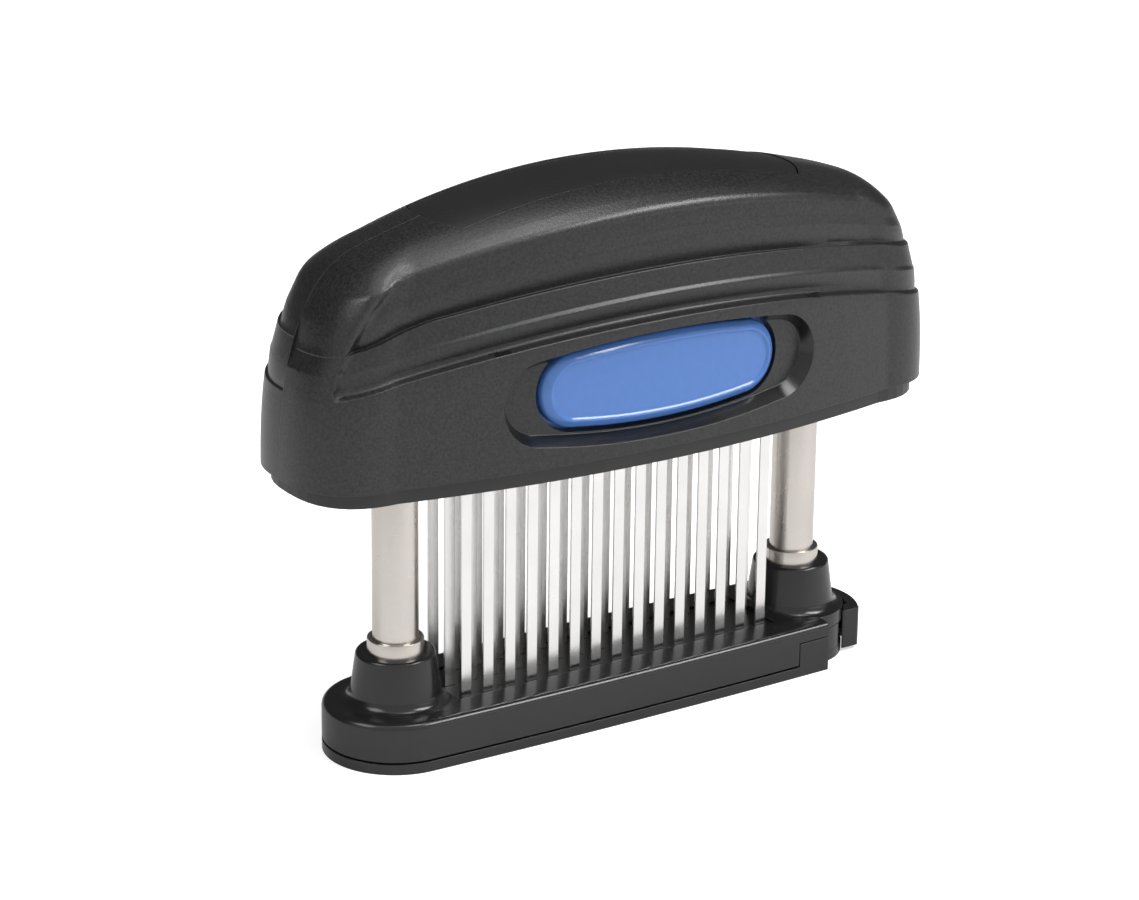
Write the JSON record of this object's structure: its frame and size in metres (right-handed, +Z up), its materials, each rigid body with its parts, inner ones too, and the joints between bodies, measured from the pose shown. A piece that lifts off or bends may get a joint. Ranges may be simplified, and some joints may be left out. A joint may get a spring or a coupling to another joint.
{
  "type": "blade meat tenderizer",
  "caption": "Hand-pressed meat tenderizer: a black palm handle drives rows of strip blades down through a foot on two sprung steel guide columns.",
  "frame": {"origin": "middle of the foot's resting face", "axes": "+X along the tool toward the plate latch, -Y toward the front button, +Z up along the stroke"},
  "size_m": [0.1524, 0.048, 0.1167],
  "materials": {
    "foot_black": "semi-gloss moulded",
    "guide_black": "semi-gloss moulded",
    "plate_black": "semi-gloss moulded",
    "latch_black": "semi-gloss moulded",
    "column_steel": "satin drawn tube",
    "collar_steel": "satin turned",
    "hardware_steel": "plain",
    "spring_steel": "bright wire",
    "handle_black": "fine moulded grain",
    "floor_black": "smooth matte",
    "bush_nylon": "natural nylon",
    "insert_black": "smooth satin",
    "carrier_black": "smooth matte",
    "blade_steel": "bright ground strip",
    "button_blue": "gloss moulded, bare face"
  },
  "bodies": {
    "foot": {"foot_body": "foot_black", "blade_guide": "guide_black", "bottom_plate": "plate_black", "column_left": "column_steel", "column_right": "column_steel", "collar_left": "collar_steel", "collar_right": "collar_steel", "column_plug_left": "hardware_steel", "column_plug_right": "hardware_steel", "column_screws": "hardware_steel", "stop_ring_left": "hardware_steel", "stop_ring_right": "hardware_steel", "return_spring_left": "spring_steel", "return_spring_right": "spring_steel"},
    "latch": {"latch_lever": "latch_black"},
    "handle": {"handle_shell_front": "handle_black", "handle_shell_rear": "handle_black", "handle_floor": "floor_black", "floor_screws": "hardware_steel", "guide_bush_left": "bush_nylon", "guide_bush_right": "bush_nylon", "spring_stud_left": "hardware_steel", "spring_stud_right": "hardware_steel", "top_insert": "insert_black", "blade_carrier": "carrier_black", "carrier_lid": "carrier_black", "blade_row_front": "blade_steel", "blade_row_middle": "blade_steel", "blade_row_rear": "blade_steel", "button_springs_front": "spring_steel", "button_springs_rear": "spring_steel"},
    "button_front": {"release_button_front": "button_blue"},
    "button_rear": {"release_button_rear": "button_blue"}
  },
  "joints": [
    {"name": "handle_press", "type": "slide", "parent": "foot", "child": "handle", "axis": [0, 0, -1], "range_m": [0, 0.035], "stiffness_N_per_m": 700, "springref_m": -0.03, "deforming": ["return_spring_left", "return_spring_right"]},
    {"name": "front_button", "type": "slide", "parent": "handle", "child": "button_front", "axis": [0, 1, 0], "range_m": [0, 0.0022], "stiffness_N_per_m": 900, "springref_m": -0.002, "deforming": ["button_springs_front"]},
    {"name": "rear_button", "type": "slide", "parent": "handle", "child": "button_rear", "axis": [0, -1, 0], "range_m": [0, 0.0022], "stiffness_N_per_m": 900, "springref_m": -0.002, "deforming": ["button_springs_rear"]},
    {"name": "plate_latch", "type": "hinge", "parent": "foot", "child": "latch", "pos_m": [0.05, 0, 0.003], "axis": [0, 0, 1], "range_deg": [0, 30]}
  ]
}
